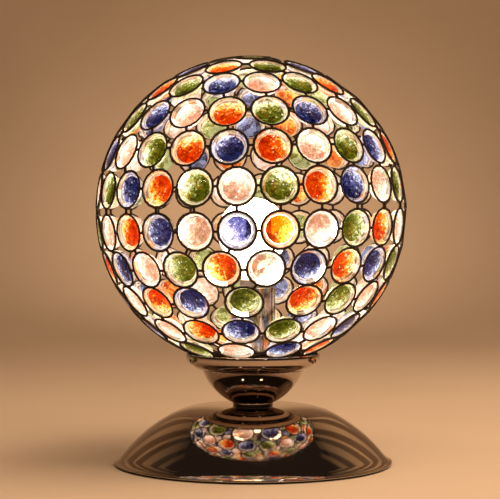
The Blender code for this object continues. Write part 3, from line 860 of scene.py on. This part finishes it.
class LAMP_OT_bulb(bpy.types.Operator):
    """Make the lit bulb"""

    bl_idname = "lamp.bulb"
    bl_label = "Bulb"

    def execute(self, context):
        colours = context.scene.lamp_colours
        frosted = bulb_finish("lit_frosted_glass", tuple(colours.light), colours.glow)
        nickel = metal_finish("nickel", (0.68, 0.66, 0.62), roughness=0.28)
        make_bulb_glass(frosted)
        make_bulb_cap(nickel)
        dress("bulb_contact", nickel)
        dress("bulb_insulator", plastic_finish("black_glass", (0.015, 0.015, 0.02), roughness=0.15))
        dress("bulb_stem", glass_finish("mount_glass", (0.9, 0.9, 0.9)))
        dress("filament", metal_finish("tungsten", (0.28, 0.27, 0.26), roughness=0.4))
        return {"FINISHED"}


# ---------------------------------------------------------------- shade


def ring_shape(sizes):
    """One wire ring, in the plane of its seat."""
    bm = bmesh.new()
    wire_r = sizes.wire / 2
    section = bmesh.ops.create_circle(bm, segments=4, radius=wire_r)
    bmesh.ops.rotate(bm, matrix=Matrix.Rotation(math.pi / 2, 3, "X"), verts=section["verts"])
    bmesh.ops.translate(bm, vec=(sizes.ring / 2 - wire_r, 0, 0), verts=section["verts"])
    spin_round(bm, bm.verts[:] + bm.edges[:], 18)
    return shape_from(closed(bm), "ring_shape")


def tie(bm, shape, first, second, sizes):
    """Solder between two rings at the places where they come nearest."""
    middle_r = sizes.ring / 2 - sizes.wire / 2
    towards = second.translation - first.translation
    ends = []
    for place, run in ((first, towards), (second, -towards)):
        outward = place.to_3x3().col[2]
        flat = (run - outward * run.dot(outward)).normalized()
        ends.append(place.translation + flat * middle_r)
    rod(bm, shape, ends[0], ends[1], sizes.wire * TIE_THICKNESS)


def nearest(place, others, limit):
    """Those of the other seats within a limit, or the nearest one where none is."""
    gaps = [(other.translation - place.translation).length for other in others]
    order = sorted(range(len(others)), key=lambda i: gaps[i])
    return [i for i in order if gaps[i] < limit] or order[:1]


def make_row_wire(index, shape, solder, sizes, material):
    """The wire rings of a row with the ties to their neighbours and to the row below."""
    bm = bmesh.new()
    row = SEATS[index]
    for i, place in enumerate(row):
        stamp(bm, shape, place)
        beside = row[(i + 1) % len(row)]
        if (beside.translation - place.translation).length < sizes.ring + LONGEST_TIE:
            tie(bm, solder, place, beside, sizes)
        if index + 1 < len(SEATS):
            below = SEATS[index + 1]
            for j in nearest(place, below, sizes.ring + LONGEST_TIE_BELOW):
                tie(bm, solder, place, below[j], sizes)
    bmesh.ops.recalc_face_normals(bm, faces=bm.faces)
    node = f"shade_row_{index:02d}"
    return to_piece(
        bm, f"wire_row_{index:02d}", "shade", [material], [node], crease=60
    )


def make_fitter(solder, material, sizes):
    """The hoop that stands in the gallery, with the wires that carry the lowest row of rings."""
    hoop = node_corners("shade_fitter_ring")
    centre = Vector(hoop.mean(0))
    local = (hoop - hoop.mean(0)) @ np.array(BALL_AXIS)
    half = float(local.max())
    off_axis = np.cross(hoop - hoop.mean(0), np.array(BALL_AXIS))
    radius = float(np.linalg.norm(off_axis, axis=1).max())
    wall = 1.4 * MM
    edge = arc((radius - wall / 2, half - wall / 2), wall / 2, 180, 0, 6)
    base_edge = arc((radius - wall / 2, -half + wall / 2), wall / 2, 0, -180, 6)
    bm = turned(edge + base_edge, 128)
    bmesh.ops.transform(bm, matrix=Matrix.Translation(centre) @ LEAN, verts=bm.verts)
    top = centre + BALL_AXIS * (half - 0.4 * MM)
    for place in SEATS[-1]:
        low = place.translation - place.to_3x3().col[1] * (sizes.ring / 2 - sizes.wire / 2)
        out = low - top
        out = (out - BALL_AXIS * out.dot(BALL_AXIS)).normalized()
        rod(bm, solder, low, top + out * (radius - wall / 2), sizes.wire * 0.5)
    return to_piece(
        bm, "fitter_hoop", "shade", [material], ["shade_fitter_ring"], crease=50
    )


def mark_across(bm, radius):
    """Lay the stone's own flat map on it."""
    layer = bm.loops.layers.uv.new("stone")
    for face in bm.faces:
        for loop in face.loops:
            loop[layer].uv = (loop.vert.co.x / radius, loop.vert.co.y / radius)


def stone_shape(sizes):
    """A stone's glass: a low dome in front, and twelve cut sides that run in behind."""
    girdle, back = sizes.ring / 2 - sizes.wire + 0.4 * MM, sizes.core / 2 + 0.25 * MM
    edge, behind = -0.3 * MM, -sizes.core_depth - 0.6 * MM
    front = [(girdle * s, sizes.lens_rise * (1 - s**2.5) + edge) for s in (0, 0.5, 0.85)]
    rear = [(back, behind), (0.5 * back, behind - 1.0 * MM), (0, behind - 1.1 * MM)]
    bm = turned(front + [(girdle, edge)] + rear, CUTS, loop=False)
    for face in bm.faces:
        if face.calc_center_median().z < edge - 0.05 * MM:
            face.material_index = 1
    mark_across(bm, girdle)
    return shape_from(bm, "stone_shape")


def core_shape(sizes, rng):
    """A stone's core: a shallow twelve-sided chip with rows of facets, each a little off true."""
    bm = bmesh.new()
    radius, flatness = sizes.core / 2, 0.15
    off_true = 0.035 * radius
    bmesh.ops.create_uvsphere(bm, u_segments=CUTS, v_segments=5, radius=radius)
    for vert in bm.verts:
        vert.co.z *= flatness
        vert.co += Vector([rng.uniform(-1, 1) * off_true for _ in range(3)])
    bmesh.ops.recalc_face_normals(bm, faces=bm.faces)
    mark_across(bm, radius)
    return shape_from(bm, "core_shape")


def turn_outward(place):
    """Angle in a seat's plane that points away from the lamp's front-to-back line, the way a
    stone's painted lit side faces.
    """
    away = place.translation - BALL_CENTRE
    away.y = 0
    east, north = place.to_3x3().col[0], place.to_3x3().col[1]
    return math.atan2(away.dot(north), away.dot(east))


def make_stones(letter, sizes, glass, sides, core):
    """Every stone of one colour: a piece of glass and a piece of cores."""
    rng = random.Random(sizes.seed + ord(letter))
    shape = stone_shape(sizes)
    stones, cores = bmesh.new(), bmesh.new()
    for (_, _, colours), places in zip(ROWS, SEATS):
        for colour, place in zip(colours, places):
            if colour != letter:
                continue
            # Each stone's painted lit side faces away from the lamp's front-to-back line, turned a
            # little at random.
            angle = turn_outward(place) + rng.uniform(-STONE_TURN, STONE_TURN)
            spin = place @ Matrix.Rotation(angle, 4, "Z")
            stamp(stones, shape, spin)
            inward = Matrix.Translation((0, 0, -sizes.core_depth))
            stamp(cores, core_shape(sizes, rng), spin @ inward)
    slot = STONE_SLOTS[letter]
    to_piece(stones, slot + "_glass", "shade", [glass, sides], crease=25)
    to_piece(cores, slot + "_cores", "shade", [core], flat=True)


class LAMP_OT_rings(bpy.types.Operator):
    """Make the shade's wire rings, ties and hoop"""

    bl_idname = "lamp.rings"
    bl_label = "Rings"

    def execute(self, context):
        sizes = context.scene.lamp_sizes
        colours = context.scene.lamp_colours
        worn = (0.050, 0.028, 0.018)
        wire = metal_finish(
            "dark_wire", tuple(colours.wire), roughness=0.5, metallic=0.5, grain=900.0,
            depth=0.03 * MM, worn=worn,
        )
        shape = ring_shape(sizes)
        solder = rod_shape("solder_shape", 0.85)
        for index in range(len(ROWS)):
            make_row_wire(index, shape, solder, sizes, wire)
        make_fitter(solder, wire, sizes)
        return {"FINISHED"}


class LAMP_OT_stones(bpy.types.Operator):
    """Make the glass stones in their four colours"""

    bl_idname = "lamp.stones"
    bl_label = "Stones"

    def execute(self, context):
        sizes = context.scene.lamp_sizes
        colours = context.scene.lamp_colours
        shades = {"b": colours.blue, "a": colours.amber, "g": colours.green, "c": colours.clear}
        for letter, colour in shades.items():
            slot, colour, let_out = STONE_SLOTS[letter], tuple(colour), STONE_LIGHT[letter]
            glass = glass_finish(slot + "_face", colour)
            sides = side_finish(slot + "_sides", colour, let_out, colours.spark)
            # The colour that each stone's painted glow turns to where it is brightest.
            thin = tuple(colours.amber_lit_thin) if letter == "a" else through(colour, 0.5)
            core = core_finish(slot + "_core", colour, thin, let_out, colours.spark)
            make_stones(letter, sizes, glass, sides, core)
        return {"FINISHED"}


# ---------------------------------------------------------------- stage


def make_cove(material):
    """A floor that turns up into a backdrop."""
    bm = bmesh.new()
    half, front, back, height, bend = 5.0, -5.0, 1.9, 2.6, 0.9
    path = [(front, 0), (back - bend, 0)]
    for a in np.linspace(0.1, math.pi / 2, 14):
        path.append((back - bend + bend * math.sin(a), bend - bend * math.cos(a)))
    path.append((back, height))
    verts = [bm.verts.new((-half, y, z)) for y, z in path]
    edges = [bm.edges.new(pair) for pair in zip(verts, verts[1:])]
    grown = bmesh.ops.extrude_edge_only(bm, edges=edges)["geom"]
    far_side = [g for g in grown if isinstance(g, bmesh.types.BMVert)]
    bmesh.ops.translate(bm, vec=(2 * half, 0, 0), verts=far_side)
    bmesh.ops.recalc_face_normals(bm, faces=bm.faces)
    mesh = shape_from(bm, "cove")
    mesh.materials.append(material)
    mesh.shade_smooth()
    cove = bpy.data.objects.new("cove", mesh)
    bpy.context.scene.collection.objects.link(cove)


def add_area(name, place, aim, size, power, colour, spread=180, hidden=False):
    """Add a soft light, not itself in view. A hidden one isn't mirrored in things either."""
    light = bpy.data.lights.new(name, "AREA")
    light.spread = math.radians(spread)
    light.shape = "RECTANGLE"
    light.size, light.size_y = size
    light.energy = power
    light.color = colour
    lamp = bpy.data.objects.new(name, light)
    lamp.location = place
    lamp.rotation_euler = (Vector(aim) - Vector(place)).to_track_quat("-Z", "Y").to_euler()
    lamp.visible_camera = lamp.visible_transmission = False
    lamp.visible_glossy = not hidden
    bpy.context.scene.collection.objects.link(lamp)


def add_lights():
    """Light the floor and backdrop, streak the dome and put two sparks on the chrome."""
    for name, place, aim, size, power, colour, spread in HIDDEN_LIGHTS:
        add_area(name, place, aim, size, power, colour, spread, hidden=True)
    for side, gain in STREAK_GAINS:
        for i, (bearing, reach, width, power) in enumerate(STREAKS):
            turn = math.radians(bearing)
            place = (side * reach * math.sin(turn), reach * math.cos(turn), 1.0)
            size = (width, STREAK_HEIGHT)
            name = f"streak_{side}_{i}"
            add_area(name, place, (0, 0, 0.1), size, gain * power, STREAK_COLOUR, 60)
    for name, across in (("spark_left", -0.62), ("spark_right", 0.50)):
        add_area(name, (across, -1.15, 0.75), (0, 0, 0.12), (0.10, 0.10), 0.9, NEUTRAL)


def add_camera():
    """A long lens straight in front of the lamp, a little above its middle."""
    camera = bpy.data.cameras.new("camera")
    camera.lens = 122.4
    camera.sensor_width = 36.0
    camera.clip_start = 0.01
    eye = Vector((-0.0019, -1.1, 0.161))
    aim = Vector((-0.0019, 0, 0.1385))
    holder = bpy.data.objects.new("camera", camera)
    holder.location = eye
    holder.rotation_euler = (aim - eye).to_track_quat("-Z", "Y").to_euler()
    bpy.context.scene.collection.objects.link(holder)
    bpy.context.scene.camera = holder


class LAMP_OT_stage(bpy.types.Operator):
    """Make the floor, the lights and the camera"""

    bl_idname = "lamp.stage"
    bl_label = "Stage"

    def execute(self, context):
        paper = Finish("warm_paper", Roughness=0.8)
        clouds = paper.noise(scale=6.0)
        paper.feed("Base Color", paper.tint(clouds, FLOOR_DARK, FLOOR_PALE))
        make_cove(paper.material)
        add_lights()
        world = bpy.data.worlds.new("room")
        world.use_nodes = True
        world.node_tree.nodes["Background"].inputs["Color"].default_value = ROOM_COLOUR
        context.scene.world = world
        context.scene.view_settings.view_transform = "Standard"
        context.scene.cycles.caustics_refractive = False
        context.scene.cycles.caustics_reflective = False
        add_camera()
        return {"FINISHED"}


class LAMP_PT_panel(bpy.types.Panel):
    """The lamp's settings and the steps that make it"""

    bl_label = "Mosaic ball lamp"
    bl_idname = "LAMP_PT_panel"
    bl_space_type = "VIEW_3D"
    bl_region_type = "UI"
    bl_category = "Lamp"

    def draw(self, context):
        for settings in (context.scene.lamp_sizes, context.scene.lamp_colours):
            box = self.layout.box()
            for name in settings.__annotations__:
                box.prop(settings, name)
        for operator in OPERATORS:
            self.layout.operator(operator.bl_idname)


OPERATORS = (
    LAMP_OT_base, LAMP_OT_cup, LAMP_OT_holder, LAMP_OT_bulb, LAMP_OT_rings, LAMP_OT_stones,
    LAMP_OT_stage,
)
CLASSES = (LampSizes, LampColours, *OPERATORS, LAMP_PT_panel)


def register():
    for cls in CLASSES:
        bpy.utils.register_class(cls)
    bpy.types.Scene.lamp_sizes = PointerProperty(type=LampSizes)
    bpy.types.Scene.lamp_colours = PointerProperty(type=LampColours)


def unregister():
    del bpy.types.Scene.lamp_colours
    del bpy.types.Scene.lamp_sizes
    for cls in reversed(CLASSES):
        bpy.utils.unregister_class(cls)


def main():
    register()
    bpy.ops.lamp.base()
    bpy.ops.lamp.cup()
    bpy.ops.lamp.holder()
    bpy.ops.lamp.bulb()
    bpy.ops.lamp.rings()
    bpy.ops.lamp.stones()
    bpy.ops.lamp.stage()


if __name__ == "__main__":
    main()
